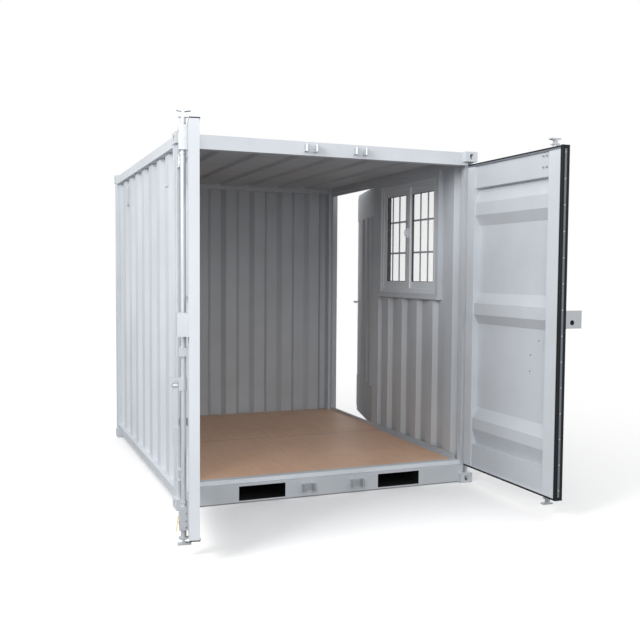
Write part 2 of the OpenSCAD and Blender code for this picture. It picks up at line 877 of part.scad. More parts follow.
module side_door_hinges() {
    h = side_knuckle_h;
    color("silver") at_side() for (z = hinge_s) translate([spin_x, spin_y, z - h / 2])
        difference() {
            union() {
                cylinder(r = side_knuckle_r, h = h);
                translate([panel_x - spin_x, 0, 0]) cube([6, side_blade_l, h]);
            }
            translate([0, 0, -1]) cylinder(r = spin_r + run_gap, h = h + 2);
        }
}

// A lever on each side of the leaf, on one spindle
module side_door_lever() {
    y = spindle_y;
    z = spindle_z;
    color("silver") at_side() {
        translate([sdoor_x0 - spindle_out, y, z]) rotate([0, 90, 0])
            cylinder(r = 6, h = sdoor_t + 2 * spindle_out);
        for (x = [sdoor_x0 - spindle_out, sdoor_x1 + spindle_out]) {
            slab([x - lever_t / 2, y - lever_l, z - lever_half],
                [x + lever_t / 2, y + lever_half, z + lever_half]);
        }
    }
}

corner_posts();
bottom_corner_castings();
top_corner_castings();
front_sill();
threshold_plate();
front_header();
rear_sill();
rear_header();
side_rails();
fork_pockets();
cross_members();
plywood_floor();
floor_edge_angles();
left_wall();
rear_wall();
right_wall_front();
right_wall_under_window();
door_side_post();
side_door_frame();
window_surround();
window_frame();
window_glass();
roof_panel();
wall_vents();
cam_keepers();
hinge_lugs();
left_door_frame();
left_door_panel();
left_door_gasket();
left_door_hinges();
left_lock_fittings();
left_lock_bar();
left_handle();
right_door_frame();
right_door_panel();
right_door_gasket();
right_door_hinges();
right_lock_fittings();
right_lock_bar();
right_handle();
side_door_leaf();
side_door_hinges();
side_door_lever();
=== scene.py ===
import json
import math

import bpy
import numpy as np
from mathutils import Matrix, Vector


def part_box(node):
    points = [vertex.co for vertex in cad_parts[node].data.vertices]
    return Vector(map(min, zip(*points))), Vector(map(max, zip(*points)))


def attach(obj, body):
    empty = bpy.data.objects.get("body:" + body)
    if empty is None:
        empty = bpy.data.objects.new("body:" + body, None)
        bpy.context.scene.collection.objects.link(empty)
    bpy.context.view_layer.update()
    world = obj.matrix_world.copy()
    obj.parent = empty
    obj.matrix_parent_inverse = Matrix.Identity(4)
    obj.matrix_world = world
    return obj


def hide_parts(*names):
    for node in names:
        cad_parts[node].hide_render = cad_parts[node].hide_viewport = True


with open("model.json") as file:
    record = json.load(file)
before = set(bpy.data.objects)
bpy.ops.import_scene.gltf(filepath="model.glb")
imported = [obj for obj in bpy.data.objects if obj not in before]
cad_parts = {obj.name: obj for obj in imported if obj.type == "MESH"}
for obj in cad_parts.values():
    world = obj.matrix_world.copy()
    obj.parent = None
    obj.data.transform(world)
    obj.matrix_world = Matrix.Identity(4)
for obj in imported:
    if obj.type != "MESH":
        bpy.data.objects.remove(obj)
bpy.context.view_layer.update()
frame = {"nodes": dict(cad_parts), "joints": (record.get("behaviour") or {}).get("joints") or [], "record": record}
joints = {joint["name"]: joint for joint in frame["joints"]}
print("frame loaded:", len(frame["nodes"]), "nodes")


# sRGB hex to linear light
def linear(hexText):
    parts = [int(hexText[k:k + 2], 16) / 255 for k in (1, 3, 5)]
    return tuple(p / 12.92 if p <= 0.04045 else ((p + 0.055) / 1.055) ** 2.4 for p in parts) + (1.0,)


# Adds a shader node with its settings and with links into its inputs
def addNode(tree, kind, links=None, **values):
    node = tree.nodes.new(kind)
    for key, value in values.items():
        if hasattr(node, key):
            setattr(node, key, value)
        else:
            node.inputs[key.replace("_", " ")].default_value = value
    for socket, source in (links or {}).items():
        tree.links.new(source, node.inputs[socket])
    return node


# One object from points and faces in metres, at the origin, riding on a body
def makePiece(name, points, faces, body, slotName, material, smooth=False):
    mesh = bpy.data.meshes.new(name)
    corners = np.asarray(points, float).reshape(-1, 3).tolist()
    mesh.from_pydata(corners, [], [list(face) for face in faces])
    mesh.polygons.foreach_set("use_smooth", np.full(len(mesh.polygons), smooth))
    mesh.materials.append(material)
    mesh.validate()
    mesh.update()
    piece = bpy.data.objects.new(name.replace(" ", "_"), mesh)
    bpy.context.scene.collection.objects.link(piece)
    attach(piece, body)
    return piece


sharpAngle = 40  # degrees; flatter edges stay as they are
sink = 0.001  # how far a fitted piece reaches into the one it sits on, in metres


def softenEdges(piece, width):
    bevel = piece.modifiers.new("soft edges", "BEVEL")
    bevel.width = width
    bevel.segments = 2
    bevel.limit_method = "ANGLE"
    bevel.angle_limit = math.radians(sharpAngle)
    bevel.harden_normals = False
    return piece


# Eight corners and six faces of a box between two corners
def boxParts(low, high):
    low, high = np.asarray(low, float), np.asarray(high, float)
    picks = np.array([[0, 0, 0], [1, 0, 0], [1, 1, 0], [0, 1, 0],
                      [0, 0, 1], [1, 0, 1], [1, 1, 1], [0, 1, 1]])
    faces = np.array([[0, 3, 2, 1], [4, 5, 6, 7], [0, 1, 5, 4],
                      [1, 2, 6, 5], [2, 3, 7, 6], [3, 0, 4, 7]])
    return low + picks * (high - low), faces


# A prism: a closed outline in the first two axes, between two heights
def prismParts(outline, low, high):
    ring = np.asarray(outline, float)
    count = len(ring)
    index = np.arange(count)
    following = (index + 1) % count
    points = np.vstack([np.column_stack([ring, np.full(count, level)]) for level in (low, high)])
    sides = np.column_stack([index, following, following + count, index + count])
    return points, sides.tolist() + [index[::-1].tolist(), (index + count).tolist()]


def joinParts(parts):
    points, faces, start = [], [], 0
    for partPoints, partFaces in parts:
        points.append(np.asarray(partPoints, float))
        faces += [[int(corner) + start for corner in face] for face in partFaces]
        start += len(partPoints)
    return np.vstack(points), faces


# Copies one small part to many places, each a 4 by 4 matrix
def repeatParts(part, places):
    points, faces = part
    stretched = np.column_stack([points, np.ones(len(points))])
    copies = np.einsum("nij,kj->nki", np.asarray(places, float), stretched)[:, :, :3]
    offsets = np.arange(len(places)) * len(points)
    allFaces = [[corner + int(offset) for corner in face] for offset in offsets for face in faces]
    return copies.reshape(-1, 3), allFaces


# A round part about Z: radius at each height, closed at both ends
def roundParts(radii, heights, sides=24):
    turn = np.arange(sides) / sides * 2 * np.pi
    radii, heights = np.asarray(radii, float), np.asarray(heights, float)
    points = np.stack([np.outer(radii, np.cos(turn)), np.outer(radii, np.sin(turn)),
                       np.repeat(heights[:, None], sides, 1)], axis=-1).reshape(-1, 3)
    index = np.arange(sides)
    following = (index + 1) % sides
    faces = []
    for row in range(len(radii) - 1):
        low, high = row * sides, (row + 1) * sides
        faces += np.column_stack([low + index, low + following,
                                  high + following, high + index]).tolist()
    return points, faces + [index[::-1].tolist(), (index + (len(radii) - 1) * sides).tolist()]


# A tube along a path: each ring lies across the path's own direction, turned as little as possible
def tubeParts(path, radius, sides=12, closed=False):
    path = np.asarray(path, float)
    ahead = np.roll(path, -1, 0) - np.roll(path, 1, 0) if closed else np.gradient(path, axis=0)
    ahead /= np.linalg.norm(ahead, axis=1)[:, None]
    steep = abs(ahead[0][2]) >= 0.9
    guide = np.array([1.0, 0, 0]) if steep else np.array([0, 0, 1.0])
    side = np.cross(ahead, guide)
    side /= np.maximum(np.linalg.norm(side, axis=1)[:, None], 1e-9)
    up = np.cross(side, ahead)
    turn = np.arange(sides) / sides * 2 * np.pi
    points = (path[:, None] + radius * (np.cos(turn)[None, :, None] * side[:, None]
                                        + np.sin(turn)[None, :, None] * up[:, None])).reshape(-1, 3)
    rows, index = len(path), np.arange(sides)
    following = (index + 1) % sides
    faces = []
    for row in range(rows if closed else rows - 1):
        low, high = row * sides, (row + 1) % rows * sides
        faces += np.column_stack([low + index, high + index,
                                  high + following, low + following]).tolist()
    if not closed:
        faces += [index.tolist(), (index + (rows - 1) * sides)[::-1].tolist()]
    return points, faces


# The frame of a hinged leaf when closed: u from its pin along the leaf, t inwards, z up
def leafPlace(jointName, mirrored):
    joint = joints[jointName]
    opening = math.radians(-joint["range_deg"][0])
    turn = Matrix.Rotation(opening if mirrored else -opening, 4, "Z")
    flip = Matrix.Diagonal((-1, 1, 1, 1)) if mirrored else Matrix.Identity(4)
    pin = Vector(joint["pos_m"])
    return Matrix.Translation((pin.x, pin.y, 0)) @ turn @ flip


def nodePoints(node):
    mesh = frame["nodes"][node].data
    points = np.empty(len(mesh.vertices) * 3, np.float32)
    mesh.vertices.foreach_get("co", points)
    return points.reshape(-1, 3).astype(float)


# Lowest and highest corner of a node in a place's own frame
def localBox(node, place):
    inverse = np.array(place.inverted())
    points = nodePoints(node) @ inverse[:3, :3].T + inverse[:3, 3]
    return points.min(0), points.max(0)


# Points of a part moved from a place's own frame to the row frame, faces turned if it mirrors
def placeParts(part, place):
    matrix = np.array(place)
    points, faces = part
    moved = np.asarray(points) @ matrix[:3, :3].T + matrix[:3, 3]
    flipped = np.linalg.det(matrix[:3, :3]) < 0
    return moved, [list(face)[::-1] for face in faces] if flipped else faces


def shift(x, y, z):
    return np.array(Matrix.Translation((x, y, z)))


# A place whose Z points along an axis of a frame
def facing(x, y, z, direction):
    turn = Vector((0, 0, 1)).rotation_difference(Vector(direction)).to_matrix().to_4x4()
    return np.array(Matrix.Translation((x, y, z)) @ turn)


coatIor = 1.5  # usual for paint and for glass
bumpDepth = 0.001  # a millimetre, thinned by each pattern's strength


# A new material and its main shader
def blankMaterial(name):
    material = bpy.data.materials.new(name)
    material.use_nodes = True
    return material, material.node_tree.nodes["Principled BSDF"]


# Links sources into a shader's inputs
def feed(tree, shader, links):
    for socket, source in links.items():
        tree.links.new(source, shader.inputs[socket])


# Alkyd paint sprayed on steel: an even satin coat with slow dusty clouds and a fine ripple
def paintedSteel(name, settings):
    s = settings
    material, shader = blankMaterial(name)
    tree = material.node_tree
    place = addNode(tree, "ShaderNodeTexCoord").outputs["Object"]
    clouds = addNode(tree, "ShaderNodeTexNoise", {"Vector": place}, Scale=s["cloudScale"],
                     Detail=s["cloudDetail"], Roughness=s["cloudRough"]).outputs["Fac"]
    share = addNode(tree, "ShaderNodeMapRange", {"Value": clouds},
                    From_Min=s["cloudRange"][0], From_Max=s["cloudRange"][1])
    colour = addNode(tree, "ShaderNodeMix", data_type="RGBA")
    feed(tree, colour, {0: share.outputs["Result"]})
    colour.inputs[6].default_value = linear(s["colour"])
    colour.inputs[7].default_value = linear(s["dust"])
    shine = addNode(tree, "ShaderNodeMapRange", {"Value": clouds}, To_Min=s["gloss"][0], To_Max=s["gloss"][1])
    ripple = addNode(tree, "ShaderNodeTexNoise", {"Vector": place}, Scale=s["rippleScale"],
                     Detail=s["rippleDetail"])
    bump = addNode(tree, "ShaderNodeBump", {"Height": ripple.outputs["Fac"]}, Strength=s["ripple"],
                   Distance=bumpDepth)
    feed(tree, shader, {"Base Color": colour.outputs[2], "Roughness": shine.outputs["Result"],
                        "Normal": bump.outputs["Normal"]})
    shader.inputs["IOR"].default_value = coatIor
    return material


# Film faced hardwood plywood: long grain along the container under a satin film with scuffs
def filmPlywood(name, settings):
    s = settings
    material, shader = blankMaterial(name)
    tree = material.node_tree
    place = addNode(tree, "ShaderNodeTexCoord").outputs["Object"]
    stretch = addNode(tree, "ShaderNodeMapping", {"Vector": place}, Scale=s["grainScale"])
    grain = addNode(tree, "ShaderNodeTexNoise", {"Vector": stretch.outputs["Vector"]}, Scale=1.0,
                    Detail=s["grainDetail"], Roughness=s["grainRough"]).outputs["Fac"]
    scuffs = addNode(tree, "ShaderNodeTexNoise", {"Vector": place}, Scale=s["scuffScale"],
                     Detail=s["scuffDetail"], Roughness=s["scuffRough"]).outputs["Fac"]
    tone = addNode(tree, "ShaderNodeMapRange", {"Value": grain},
                   From_Min=s["grainRange"][0], From_Max=s["grainRange"][1])
    wood = addNode(tree, "ShaderNodeMix", data_type="RGBA")
    feed(tree, wood, {0: tone.outputs["Result"]})
    wood.inputs[6].default_value = linear(s["dark"])
    wood.inputs[7].default_value = linear(s["light"])
    wear = addNode(tree, "ShaderNodeMapRange", {"Value": scuffs}, From_Min=s["scuffRange"][0],
                   From_Max=s["scuffRange"][1], To_Max=s["wear"])
    worn = addNode(tree, "ShaderNodeMix", data_type="RGBA")
    feed(tree, worn, {0: wear.outputs["Result"], 6: wood.outputs[2]})
    worn.inputs[7].default_value = linear(s["scuff"])
    bump = addNode(tree, "ShaderNodeBump", {"Height": grain}, Strength=s["grainBump"], Distance=bumpDepth)
    feed(tree, shader, {"Base Color": worn.outputs[2], "Normal": bump.outputs["Normal"]})
    shader.inputs["Roughness"].default_value = s["roughness"]
    return material


# Zinc plated steel: a spangle of slightly different shine over a grey metal
def zincSteel(name, settings):
    s = settings
    material, shader = blankMaterial(name)
    tree = material.node_tree
    place = addNode(tree, "ShaderNodeTexCoord").outputs["Object"]
    spangle = addNode(tree, "ShaderNodeTexVoronoi", {"Vector": place}, Scale=s["spangleScale"])
    shine = addNode(tree, "ShaderNodeMapRange", {"Value": spangle.outputs["Distance"]},
                    To_Min=s["gloss"][0], To_Max=s["gloss"][1])
    feed(tree, shader, {"Roughness": shine.outputs["Result"]})
    shader.inputs["Base Color"].default_value = linear(s["colour"])
    shader.inputs["Metallic"].default_value = s["metal"]
    return material


# One even colour with a set shine, for moulded, painted and shaded pieces
def plainFinish(name, colour, roughness, specular=0.5):
    material, shader = blankMaterial(name)
    shader.inputs["Base Color"].default_value = linear(colour)
    shader.inputs["Roughness"].default_value = roughness
    shader.inputs["Specular IOR Level"].default_value = specular
    return material


# Clear float glass with a faint green body
def floatGlass(name):
    material = plainFinish(name, "#eef6f4", 0.02)
    shader = material.node_tree.nodes["Principled BSDF"]
    shader.inputs["Alpha"].default_value = 0.12
    shader.inputs["IOR"].default_value = coatIor
    material.surface_render_method = "BLENDED"
    return material


# Clouds about 600 mm across; the ripple of sprayed paint about 4.5 mm
paintSettings = {"colour": "#cdd2d8", "dust": "#c3c8cd", "gloss": (0.38, 0.5),
                 "cloudScale": 1.6, "cloudDetail": 4.0, "cloudRough": 0.55, "cloudRange": (0.35, 0.68),
                 "rippleScale": 220.0, "rippleDetail": 2.0, "ripple": 0.05}
insideSettings = dict(paintSettings, colour="#c6cbd1", dust="#bbc0c5", gloss=(0.42, 0.55))
thresholdSettings = dict(paintSettings, colour="#d2d8de", dust="#c5cbd0")
# Painted shade: near black for the fork pockets, whose insides lie in shade
pocketShadeSettings = dict(paintSettings, colour="#0b0c0e", dust="#121315", gloss=(0.7, 0.8))
# Grain about 17 mm wide, coarser than real so that it shows, and 330 mm long; scuffs 400 mm across
plywoodSettings = {"light": "#ecc4a7", "dark": "#e0b595", "scuff": "#cba488", "roughness": 0.5,
                   "grainScale": (60.0, 3.0, 60.0), "grainDetail": 8.0, "grainRough": 0.65,
                   "grainRange": (0.3, 0.7), "grainBump": 0.12,
                   "scuffScale": 2.4, "scuffDetail": 5.0, "scuffRough": 0.6, "scuffRange": (0.48, 0.75),
                   "wear": 0.45}
# Spangles about 11 mm across
zincSettings = {"colour": "#c9cdd1", "metal": 0.55, "spangleScale": 90.0, "gloss": (0.32, 0.5)}

framePaint = paintedSteel("light grey frame paint", paintSettings)
wallPaint = paintedSteel("light grey sheet paint", insideSettings)
thresholdPaint = paintedSteel("light grey threshold paint", thresholdSettings)
pocketShadePaint = paintedSteel("black pocket painted shade", pocketShadeSettings)
plywood = filmPlywood("hardwood plywood", plywoodSettings)
zinc = zincSteel("zinc plated steel", zincSettings)
rubber = plainFinish("black door rubber", "#15171a", 0.62, 0.35)  # extruded, dull
whitePvc = plainFinish("white window plastic", "#dfe3e8", 0.35)  # extruded, half gloss
barSteel = plainFinish("grey painted window bar", "#8f959b", 0.45)
pane = floatGlass("clear window glass")
ventPlastic = plainFinish("grey vent plastic", "#c2c8ce", 0.5)  # moulded
tagPlastic = plainFinish("yellow seal plastic", "#e3c21c", 0.42)  # moulded
stripSteel = plainFinish("grey seal strip", "#6d747c", 0.35)  # rolled and bare
darkGap = plainFinish("shaded gap", "#1c1e20", 0.8, 0.2)
screwSteel = plainFinish("dulled screw head", "#8b9095", 0.45)

nodeFinish = {
    "frame_paint": framePaint, "wall_paint": wallPaint, "threshold_paint": thresholdPaint,
    "pocket_steel": pocketShadePaint, "plywood": plywood, "gear_steel": zinc, "seal_rubber": rubber,
    "window_pvc": whitePvc, "window_pane": pane, "vent_plastic": ventPlastic}
nodeSlots = {part["node"]: part["material_slot"] for part in frame["record"]["subparts"]}
for nodeName, nodeObject in frame["nodes"].items():
    nodeObject.data.materials.clear()
    nodeObject.data.materials.append(nodeFinish[nodeSlots[nodeName]])
print("materials on", len(nodeSlots), "nodes")

# Soft edges on the thick pieces, in metres
edgeSettings = {
    "corner_posts": 0.003, "bottom_corner_castings": 0.005, "top_corner_castings": 0.005,
    "front_sill": 0.003, "front_header": 0.004, "rear_sill": 0.003, "rear_header": 0.004,
    "side_rails": 0.004, "door_side_post": 0.003, "window_surround": 0.002,
    "window_frame": 0.003, "cam_keepers": 0.004, "left_door_frame": 0.003,
    "right_door_frame": 0.003, "left_lock_fittings": 0.002, "right_lock_fittings": 0.002,
    "side_door_leaf": 0.003, "wall_vents": 0.003, "left_door_gasket": 0.0015,
    "threshold_plate": 0.001}
for nodeName, edgeWidth in edgeSettings.items():
    softenEdges(frame["nodes"][nodeName], edgeWidth)
print("edges softened")


leaves = {
    "left": leafPlace("left_door_hinge", False),
    "right": leafPlace("right_door_hinge", True)}
outwards, inwards, endwards = (0, -1, 0), (0, 1, 0), (1, 0, 0)  # directions in a leaf's own frame


# A joint's place in the frame of its leaf
def jointSpot(name, place):
    return place.inverted() @ Vector(joints[name]["pos_m"])


# A piece of a cargo door, made in the closed leaf's frame and riding on the door
def doorPiece(side, name, part, slotName, material):
    return makePiece(side + " " + name, *placeParts(part, leaves[side]), side + "_door", slotName, material)


# Painted shade: a dark disc set into the padlock hole of the right door's lock plate
holeShadeSettings = {"radius": 0.0152, "thick": 0.003, "setIn": 0.0055, "fromFace": 0.046, "aboveHandle": 0.288}


def plateHoleShade():
    p = holeShadeSettings
    place = leaves["right"]
    plateEnd = localBox("right_lock_fittings", place)[1][0]
    face = localBox("right_door_frame", place)[0][1]
    height = joints["right_handle_pivot"]["pos_m"][2] + p["aboveHandle"]
    shadeDisc = roundParts([p["radius"], p["radius"]], [0, p["thick"]], 28)
    spot = facing(plateEnd - p["setIn"], face - p["fromFace"], height, endwards)
    makePiece("lock plate hole shade", *placeParts(repeatParts(shadeDisc, [spot]), place),
              "right_door", "seal_rubber", darkGap)


# Rubber on the doors' edges: how far the round beads stand out, and the lips on the inner face
sealSettings = {"inset": 0.0036, "height": 0.006, "setBack": 0.0008, "bead": 0.0022, "beadRoot": 0.0006,
                "steps": 9, "innerLip": 0.016, "lipProud": 0.003, "lipTaper": 0.8, "lipEdge": 0.004,
                "root": 0.003, "endRise": 0.002}
# The strip riveted along the free edge, between the two beads
stripSettings = {"width": 0.013, "thick": 0.0018, "inwards": 0.003, "ends": 0.02,
                 "rivetStep": 0.149, "rivetRadius": 0.0042, "firstRivet": 0.06, "lastRivet": 0.03}
# Lips along the bottom and the top of a leaf, and the strip under the top one
lipSettings = {"start": 0.004, "edge": 0.0005, "bottom": 0.011, "top": 0.009, "depth": 0.002, "soft": 0.0012,
               "strip": 0.0105, "stripProud": 0.0015}


# Half a round bead over a stretch: proud by the root of one minus the square of the place on it
def beadCurve(start, end, proud, steps):
    share = np.linspace(-1, 1, steps)
    return np.column_stack([start + (end - start) * (share + 1) / 2, proud * np.sqrt(1 - share ** 2)])


# Section of the free edge's seal: along the leaf's thickness, then round onto its inner face
def sealSection(edge, face, back, middle):
    s = sealSettings
    gap = stripSettings["width"] / 2 + sink
    lip = back + s["lipProud"]
    outerBead = beadCurve(face + sink, middle - gap, s["bead"], s["steps"])
    innerBead = beadCurve(middle + gap, lip, s["bead"], s["steps"])
    beads = np.vstack([outerBead, innerBead])
    around = np.array([[edge - s["lipEdge"], lip],
                       [edge - s["innerLip"], back + s["lipTaper"] * s["lipProud"]],
                       [edge - s["innerLip"], back - sink],
                       [edge - s["root"], back - sink],
                       [edge - s["root"], face + sink]])
    return np.vstack([np.column_stack([edge - s["beadRoot"] + beads[:, 1], beads[:, 0]]), around])


# The right door's free edge: rubber all round, two beads, and a riveted strip between them
def freeEdgeSeal(low, high, edge):
    s, t = sealSettings, stripSettings
    face, back = low[1], high[1]
    core = [boxParts((low[0], face, low[2]), (edge, back, low[2] + s["height"])),
            boxParts((low[0], face, high[2] - s["height"]), (edge, back, high[2])),
            boxParts((edge - s["height"], face, low[2]), (edge - s["setBack"], back, high[2]))]
    gasket = doorPiece("right", "door rubber", joinParts(core), "seal_rubber", rubber)
    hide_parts("right_door_gasket")
    middle = (face + back) / 2 + t["inwards"]
    outline = sealSection(edge, face, back, middle)
    seal = prismParts(outline, low[2] + sink, high[2] + s["endRise"])
    doorPiece("right", "free edge seal", seal, "seal_rubber", rubber)
    strip = boxParts((edge - sink, middle - t["width"] / 2, low[2] + t["ends"]),
                     (edge + t["thick"], middle + t["width"] / 2, high[2] - t["ends"]))
    doorPiece("right", "seal strip", strip, "gear_steel", stripSteel)
    heights = np.arange(low[2] + t["firstRivet"], high[2] - t["lastRivet"], t["rivetStep"])
    r = t["rivetRadius"]
    head = roundParts([r, r, 0.8 * r, 0.35 * r], [0, 0.0006, 0.0012, 0.0016], 12)
    rivets = repeatParts(head, [facing(edge + t["thick"], middle, z, endwards) for z in heights])
    doorPiece("right", "seal rivets", rivets, "gear_steel", zinc)


def doorSeal(side, place):
    low, high = localBox(side + "_door_gasket", place)
    back, edge = high[1], high[0]
    s, p = sealSettings, lipSettings
    if side == "right":
        edge -= s["inset"]
        freeEdgeSeal(low, high, edge)
    start = low[0] + p["start"]
    levels = ((low[2] + p["edge"], low[2] + p["bottom"]), (high[2] - p["top"], high[2] - p["edge"]))
    lips = [boxParts((start, back - p["depth"], z0), (edge - sink, back + s["lipProud"], z1))
            for z0, z1 in levels]
    softenEdges(doorPiece(side, "seal lips", joinParts(lips), "seal_rubber", rubber), p["soft"])
    top = levels[1][0]
    strip = boxParts((start, back - sink, top - p["strip"]),
                     (edge - s["innerLip"] - sink, back + p["stripProud"], top))
    doorPiece(side, "top seal strip", strip, "gear_steel", stripSteel)


# Screws of the gear's blocks: heads outside, ends inside, and three more ends on the middle, from
# the bar and the handle's height
screwSettings = {"blocks": (0.04, 0.1), "topBlocks": (0.1, 0.035), "headBeside": 0.019, "headAhead": 0.022,
                 "headRadius": 0.0045, "besideBar": 0.016, "radius": 0.006,
                 "middle": ((-0.02, 0.173), (-0.157, 0.075), (-0.162, -0.025)),
                 "stile": 0.12, "panelTop": 0.1, "panelDepth": 0.0441}


def gearBolts(side, place):
    s = screwSettings
    low, high = localBox(side + "_door_frame", place)
    back = high[1]
    bar = jointSpot(side + "_bar_turn", place)
    handle = joints[side + "_handle_pivot"]["pos_m"][2]
    heights = [low[2] + z for z in s["blocks"]] + [high[2] - z for z in s["topBlocks"]]
    r = s["headRadius"]
    heads = repeatParts(roundParts([r, r, 0.003], [0, 0.002, 0.003], 12),
                        [facing(bar.x + turn * s["headBeside"], bar.y - s["headAhead"], z, outwards)
                         for z in heights for turn in (-1, 1)])
    doorPiece(side, "block screws", heads, "gear_steel", screwSteel)
    r = s["radius"]
    spots = [(bar.x + turn * s["besideBar"], z) for z in heights for turn in (-1, 1)]
    spots += [(bar.x + beside, handle + above) for beside, above in s["middle"]]
    # Ends on the pressed sheet's middle lie deeper than those on the frame
    depths = [back - s["panelDepth"] if u < high[0] - s["stile"] and z < handle + s["panelTop"] else back
              for u, z in spots]
    end = roundParts([r, r, 0.7 * r, 0.2 * r], [0, 0.0012, 0.0024, 0.003], 14)
    ends = repeatParts(end, [facing(u, t, z, inwards) for (u, z), t in zip(spots, depths)])
    doorPiece(side, "screw ends", ends, "gear_steel", screwSteel)


# A folded plate that the handle's grip rests in
catchSettings = {"width": 0.05, "height": 0.04, "thick": 0.003, "drop": 0.19, "beside": 0.046,
                 "ahead": 0.017, "turnIn": 0.45, "foot": 0.02}


def handleCatch(side, place):
    s = catchSettings
    bar = jointSpot(side + "_bar_turn", place)
    pivot = jointSpot(side + "_handle_pivot", place)
    face = localBox(side + "_door_frame", place)[0][1]
    reach = pivot.y + s["ahead"]
    z = pivot.z - s["drop"]
    u, t = bar.x - s["beside"], s["thick"]
    nose = u + s["width"] * s["turnIn"]
    outline = [(u, face), (u, reach), (nose, reach), (nose, reach + t), (u + t, reach + t),
               (u + t, face - t), (u + s["foot"], face - t), (u + s["foot"], face)]
    catch = prismParts(outline[::-1], z - s["height"] / 2, z + s["height"] / 2)
    doorPiece(side, "handle catch", catch, "gear_steel", zinc)


# Collars beside the end blocks keep the bar at its height
collarSettings = {"radius": 0.0175, "bore": 0.0142, "height": 0.01, "chamfer": 0.001,
                  "fromBottom": 0.142, "fromTop": 0.15}


def barCollars(side, place):
    c = collarSettings
    bar = jointSpot(side + "_bar_turn", place)
    low, high = localBox(side + "_door_frame", place)
    collar = roundParts([c["bore"], c["radius"], c["radius"], c["bore"]],
                        [0, c["chamfer"], c["height"] - c["chamfer"], c["height"]], 28)
    heights = [low[2] + c["fromBottom"], high[2] - c["fromTop"]]
    collars = repeatParts(collar, [shift(bar.x, bar.y, z) for z in heights])
    makePiece(side + " bar collars", *placeParts(collars, place), side + "_bar", "gear_steel", zinc)


# Two bolts through each hinge blade: how far along it, and the blade's outer face from its pin's edge
hingeBoltSettings = {"along": (0.055, 0.125), "bladeHalf": 0.023, "bladeFace": 0.015, "radius": 0.006}


def hingeBolts(side, place):
    h = hingeBoltSettings
    low, high = localBox(side + "_door_hinges", place)
    heights = [low[2] + h["bladeHalf"], (low[2] + high[2]) / 2, high[2] - h["bladeHalf"]]
    head = roundParts([h["radius"], h["radius"], 0.75 * h["radius"]], [0, 0.003, 0.004], 6)
    bolts = repeatParts(head, [facing(u, low[1] + h["bladeFace"], z, outwards)
                               for z in heights for u in h["along"]])
    doorPiece(side, "hinge bolts", bolts, "gear_steel", screwSteel)


# A folded plate over the lower block, from the leaf's face down to the block, and the block's bolts
guardSettings = {"foot": 0.128, "rise": 0.075, "thick": 0.003, "lip": 0.002, "start": 0.017, "end": 0.03,
                 "ahead": 0.015, "blockHalf": 0.024, "bolts": (0.025, 0.055, 0.095), "radius": 0.0045}


def blockGuard(side, place):
    g = guardSettings
    bar = jointSpot(side + "_bar_turn", place)
    low = localBox(side + "_door_frame", place)[0]
    foot = low[2] + g["foot"]
    face, out = low[1], bar.y + g["ahead"]
    section = [(face, foot), (face, foot + g["rise"]), (face - g["thick"], foot + g["rise"]),
               (out, foot + g["lip"]), (out, foot)]
    points = np.array([(x, y, z) for x in (bar.x + g["start"], bar.x + g["end"]) for y, z in section])
    count = len(section)
    ends = [tuple(range(count))[:1] + tuple(range(count))[:0:-1], tuple(range(count, 2 * count))]
    around = [(k, (k + 1) % count, (k + 1) % count + count, k + count) for k in range(count)]
    doorPiece(side, "block guard", (points, ends + around), "gear_steel", zinc)
    head = roundParts([g["radius"], g["radius"], 0.003], [0, 0.002, 0.003], 6)
    bolts = repeatParts(head, [facing(bar.x + g["blockHalf"], (face + bar.y) / 2, low[2] + z, endwards)
                               for z in g["bolts"]])
    doorPiece(side, "block bolts", bolts, "gear_steel", screwSteel)


plateHoleShade()
for side, place in leaves.items():
    doorSeal(side, place)
    blockGuard(side, place)
    gearBolts(side, place)
    handleCatch(side, place)
    barCollars(side, place)
    hingeBolts(side, place)
print("cargo doors dressed")


# A yellow seal tag on a wire loop at the lower block: sizes in metres, lean in degrees
tagSettings = {"width": 0.022, "thick": 0.003, "height": 0.075, "lean": 7.0, "above": 0.073, "ahead": 0.026,
               "headShare": 0.55, "tailStart": 0.5, "tailHalf": 0.3, "soft": 0.001,
               "wire": 0.002, "loop": 0.02, "loopFlat": 0.6, "loopDrop": 0.004, "loopSteps": 28}


def sealTag():
    t = tagSettings
    place = leaves["left"]
    bar = jointSpot("left_bar_turn", place)
    top = localBox("left_door_frame", place)[0][2] + t["above"]
    wide, thick, tall = t["width"], t["thick"], t["height"]
    # The tag turns about its upper edge, so that its lower end stands away from the block
    hang = (place @ Matrix.Translation((bar.x, bar.y - t["ahead"], top))
            @ Matrix.Rotation(-math.radians(t["lean"]), 4, "X"))
    strip = joinParts([boxParts((-wide / 2, -thick, -t["headShare"] * tall), (wide / 2, 0, 0)),
                       boxParts((-t["tailHalf"] * wide, -thick, -tall),
                                (t["tailHalf"] * wide, 0, -t["tailStart"] * tall))])
    tag = makePiece("yellow seal tag", *placeParts(strip, hang), "left_door", "gear_steel", tagPlastic)
    softenEdges(tag, t["soft"])
    # The wire follows an upright ellipse: its sine across, its cosine up
    turn = np.linspace(0, 2 * np.pi, t["loopSteps"], endpoint=False)
    r = t["loop"]
    path = np.column_stack([t["loopFlat"] * r * np.sin(turn), np.full(len(turn), 0.0005),
                            0.5 * r - t["loopDrop"] + r * np.cos(turn)])
    wire = tubeParts(path, t["wire"] / 2, 8, closed=True)
    makePiece("seal wire", *placeParts(wire, hang), "left_door", "gear_steel", zinc, smooth=True)


sealTag()
print("tag hung")


# Bars outside the glass: round uprights on flat rungs that are fixed to the surround
grilleSettings = {"uprights": 9, "radius": 0.006, "endRadius": 0.004, "seat": 0.8, "edge": 0.022,
                  "ends": 0.014, "chamfer": 0.002, "flat": 0.004, "rungHalf": 0.007, "rungEnds": 0.008,
                  "outerRungs": 0.026, "rungShares": (0.335, 0.70)}


